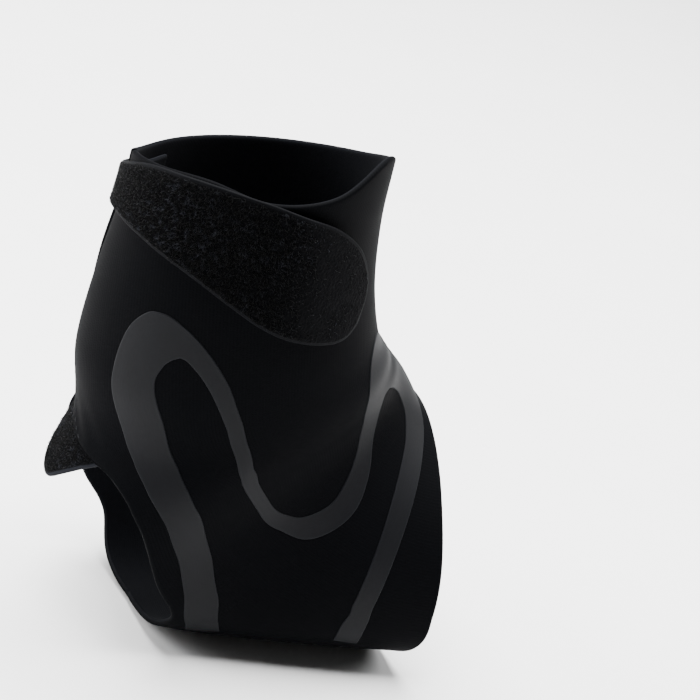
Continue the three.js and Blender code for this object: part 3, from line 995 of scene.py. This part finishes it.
def band(name, on_inner, node):
    span = len(BAND_EDGES["shift"]) - 1
    v = packed(BAND_GRID[0], near=BAND_SIDE_STEPS, far=BAND_SIDE_STEPS)
    u = packed(BAND_GRID[1], near=BAND_END_STEPS, far=BAND_END_STEPS)
    at = np.broadcast_to(u[None, :] * span, (len(v), len(u)))
    place, turn = band_spot(on_inner, at, np.broadcast_to(v[:, None], at.shape))
    lift = BODY_WALL - BAND_SUNK + body_folds(place, turn)
    piece = cloth_shell(name, place, turn, lift, BAND_SUNK + BAND_RISE, [band_finish()])
    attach(piece, "root")
    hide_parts(node)
    return piece


# The loop pile

LOOP_RADIUS = 0.07 * MM
LOOP_SPAN = 0.55 * MM
LOOP_HEIGHT = 0.45 * MM
LOOP_ROOT = 0.1 * MM  # how deep its ends are set in
LOOP_SIZES = (0.65, 1.35)  # of the smallest and the largest loop
LOOP_TILT = 0.45  # how far loops lean to either side, as a share of their height
LOOP_TWIST = 0.5  # how far they curl out of line, as a share of their span
LOOP_SIDES = 3
LOOP_POINTS = 5
STRAP_LOOPS = 8200
STRAP_SEED = 7
STRAP_TRIES = 3  # spots drawn for each loop that is wanted
SPOT_STEP = 0.01  # rows of the strap to either side, between which a spot's share of the cloth is measured
WIDE_SPOT = 97  # per cent of the spots stand for less cloth than the one that is always kept
TIP_WEAR = 0.96  # share of the loops that lie flat towards the strap's end
TIP_ROWS = (6.6, 8.8)  # rows of the strap over which they grow fewer
WING_LOOPS = 4200
WING_SEED = 11
WING_TRIES = 6
WING_TURNS = (150, 232)  # degrees of turn within which the wing shows
WING_PLACES = (0.9, 4.85)
WING_INSET = 0.06  # sections that the pile keeps from the wing's lower edge
WING_COVER = 1.6  # degrees of turn that it keeps from the body's edges


def pile(name, seed, count, spots, lift, material):
    """Standing loops, scattered over a cloth. spots gives random places and turns, and lift its top."""
    random = np.random.default_rng(seed)
    place, turn = spots(random, count)
    base = raised(place, turn, lift(place, turn))
    normal = outward(place, turn)
    down, _ = slopes(place, turn)
    side = unit(np.cross(normal, down))
    ahead = np.cross(side, normal)
    angle = random.uniform(0, 2 * math.pi, len(place))[:, None]
    path = side * np.cos(angle) + ahead * np.sin(angle)
    cross = np.cross(normal, path)
    size = random.uniform(*LOOP_SIZES, len(place))[:, None]
    tilt = random.normal(0, LOOP_TILT, len(place))[:, None]
    upright = unit(normal + cross * tilt)
    t = np.linspace(0, math.pi, LOOP_POINTS)[None, :, None]
    twist = random.normal(0, LOOP_TWIST, len(place))[:, None, None]
    loop = path[:, None, :] * -np.cos(t) * LOOP_SPAN
    loop = loop + upright[:, None, :] * np.sin(t) * LOOP_HEIGHT
    loop = loop + cross[:, None, :] * np.sin(2 * t) * LOOP_SPAN * twist
    paths = (base - normal * LOOP_ROOT)[:, None, :] + size[:, None, :] * loop
    piece = strand_mesh(name, paths, cross, LOOP_RADIUS * size, LOOP_SIDES, [material])
    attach(piece, "root")
    return piece


def strap_spots(random, count):
    """Spots of the strap inside its sealed border, even over its surface."""
    span = len(STRAP_EDGES["turn"]) - 1
    at = random.uniform(0, span, count * STRAP_TRIES)
    down = random.uniform(0, 1, count * STRAP_TRIES)
    place, turn = strap_spot(at, down)

    def apart(at_a, down_a, at_b, down_b):
        one, other = face_point(*strap_spot(at_a, down_a)), face_point(*strap_spot(at_b, down_b))
        return np.linalg.norm(one - other, axis=1)

    wide = apart(at, 1 + 0 * at, at, 0 * at)
    area = wide * apart(at + SPOT_STEP, down, at - SPOT_STEP, down)
    tip = apart(at, down, span + 0 * at, 0.5 + 0 * at)
    inset = BORDER_WIDTH + BORDER_STEP
    keep = (np.minimum(down, 1 - down) * wide > inset) & (tip > inset + LOOP_SPAN * 2)
    left_standing = 1 - TIP_WEAR * smooth(at, *TIP_ROWS)
    keep &= random.uniform(0, 1, len(at)) < left_standing * area / np.percentile(area, WIDE_SPOT)
    chosen = np.nonzero(keep)[0][:count]
    return place[chosen], turn[chosen]


def wing_top(place, turn):
    return np.full(len(place), -LAYER_GAP)


def wing_spots(random, count):
    """Spots of the wing that no other layer covers."""
    turn = random.uniform(*WING_TURNS, count * WING_TRIES)
    place = random.uniform(*WING_PLACES, count * WING_TRIES)
    at = np.interp(turn, WING_EDGES["turn"][::-1], np.arange(len(WING_EDGES["turn"]))[::-1])
    lower = between(WING_EDGES["lower"], at)
    rows = np.interp(place, BACK_EDGES["place"], np.arange(len(BACK_EDGES["place"])))
    near = between(BACK_EDGES["outer"], rows)
    far = between(BACK_EDGES["inner"], rows) + 360
    keep = (place < lower - WING_INSET) & (turn > near + WING_COVER) & (turn < far - WING_COVER)
    chosen = np.nonzero(keep)[0][:count]
    return place[chosen], turn[chosen]


# Stitching

STITCH_LENGTH = 2.2 * MM
STITCH_GAP = 0.9 * MM
THREAD_RADIUS = 0.16 * MM
STITCH_DIP = 0.3 * MM
STITCH_POINTS = 7
STITCH_SIDES = 8
STITCH_ARCH = 0.6  # the smaller, the flatter a stitch lies between its ends
STITCH_END = 0.55  # the thread's radius at a stitch's ends, as a share
HEEL_SEAM_ROWS = (3.4, 6.2)  # rows of the body's back edges along which the outer side's hem is stitched
WING_SEAM_ROWS = (0.75, 8.0)  # and the inner side's, where the wing is sewn under it
SEAM_INSET = 4.5  # degrees of turn
HEM_SAMPLES = 400  # points at which the line of a hem is worked out
ROOT_SEAM = 0.04  # rows of the strap from its root
ROOT_SEAM_ENDS = (0.05, 0.95)  # shares of the strap's width
ROOT_SEAM_SAMPLES = 100


def stitches(name, place, turn, lift, material):
    """A row of stitches along a line on the form, each one a short thread that dips at its ends."""
    line = raised(place, turn, lift)
    normal = outward(place, turn)
    run = np.concatenate([[0], np.cumsum(np.linalg.norm(np.diff(line, axis=0), axis=1))])
    starts = np.arange(0, run[-1] - STITCH_LENGTH, STITCH_LENGTH + STITCH_GAP)
    t = np.linspace(0, 1, STITCH_POINTS)
    at = starts[:, None] + STITCH_LENGTH * t[None, :]
    points = np.stack([np.interp(at, run, line[:, k]) for k in range(3)], axis=-1)
    ups = np.stack([np.interp(at, run, normal[:, k]) for k in range(3)], axis=-1)
    arch = np.sin(math.pi * t)
    dip = ((arch ** STITCH_ARCH - 1) * STITCH_DIP)[None, :, None]
    radius = THREAD_RADIUS * (STITCH_END + (1 - STITCH_END) * np.sqrt(arch))[None, :]
    middle = ups[:, STITCH_POINTS // 2]
    piece = strand_mesh(name, points + ups * dip, middle, radius, STITCH_SIDES, [material])
    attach(piece, "root")
    return piece


def hem_stitches(name, rows, side, inset, thread):
    """The stitches of the body's hem, beside one of the edges of the opening behind it."""
    seam = body_edges(np.linspace(*rows, HEM_SAMPLES))
    turn = seam[side] + inset
    return stitches(name, seam["place"], turn, BODY_WALL + body_folds(seam["place"], turn), thread)


def root_stitches(thread):
    """The stitches that hold the strap's root on the inner side."""
    down = np.linspace(*ROOT_SEAM_ENDS, ROOT_SEAM_SAMPLES)
    place, turn = strap_spot(np.full(len(down), ROOT_SEAM), down)
    return stitches("strap_seam", place, turn, strap_top(place, turn) - BORDER_PRESS, thread)


def main():
    right, up, toward = camera()
    lights(right, up, toward)
    knit = body()
    wing_cloth = wing()
    strap_cloth = strap()
    hook_pad = hook_patch()
    outer_band = band("outer_band_film", False, "outer_side_band")
    inner_band = band("inner_band_film", True, "inner_side_band")
    fibre = fibre_finish()
    strap_pile = pile("strap_pile", STRAP_SEED, STRAP_LOOPS, strap_spots, strap_top, fibre)
    wing_pile = pile("wing_pile", WING_SEED, WING_LOOPS, wing_spots, wing_top, fibre)
    thread = thread_finish()
    heel_seam = hem_stitches("heel_seam", HEEL_SEAM_ROWS, "outer", -SEAM_INSET, thread)
    wing_seam = hem_stitches("wing_seam", WING_SEAM_ROWS, "inner", SEAM_INSET, thread)
    strap_seam = root_stitches(thread)
    floor(min(v.co.z for v in knit.data.vertices) - FLOOR_GAP)


main()
